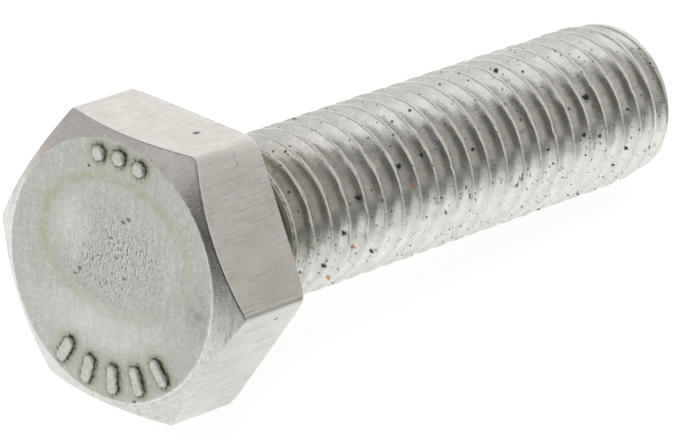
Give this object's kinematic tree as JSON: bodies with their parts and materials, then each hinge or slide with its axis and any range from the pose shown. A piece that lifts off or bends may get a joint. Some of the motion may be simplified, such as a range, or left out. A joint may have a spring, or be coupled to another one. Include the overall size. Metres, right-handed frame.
{
  "type": "hex bolt",
  "caption": "Fully threaded stainless hex bolt: chamfered hexagon head with a washer face, a short filleted neck and a right-hand metric thread up to a chamfered point.",
  "frame": {"origin": "centre of the bearing face under the head, on the bolt's axis", "axes": "+X along the axis, from the head to the point; +Z square to one pair of head flats, with the lower flat down; +Y to a head corner"},
  "size_m": [0.0358, 0.015, 0.013],
  "materials": {
    "head_stainless": "cold-forged stainless: brushed flats, mottled top",
    "shank_stainless": "rolled stainless thread, satin, with small dark specks"
  },
  "bodies": {
    "root": {"hex_head": "head_stainless", "washer_face": "head_stainless", "shank_neck": "shank_stainless", "shank_core": "shank_stainless", "screw_thread": "shank_stainless", "shank_point": "shank_stainless", "head_mark_bars": "head_stainless", "head_mark_pips": "head_stainless"}
  },
  "joints": []
}
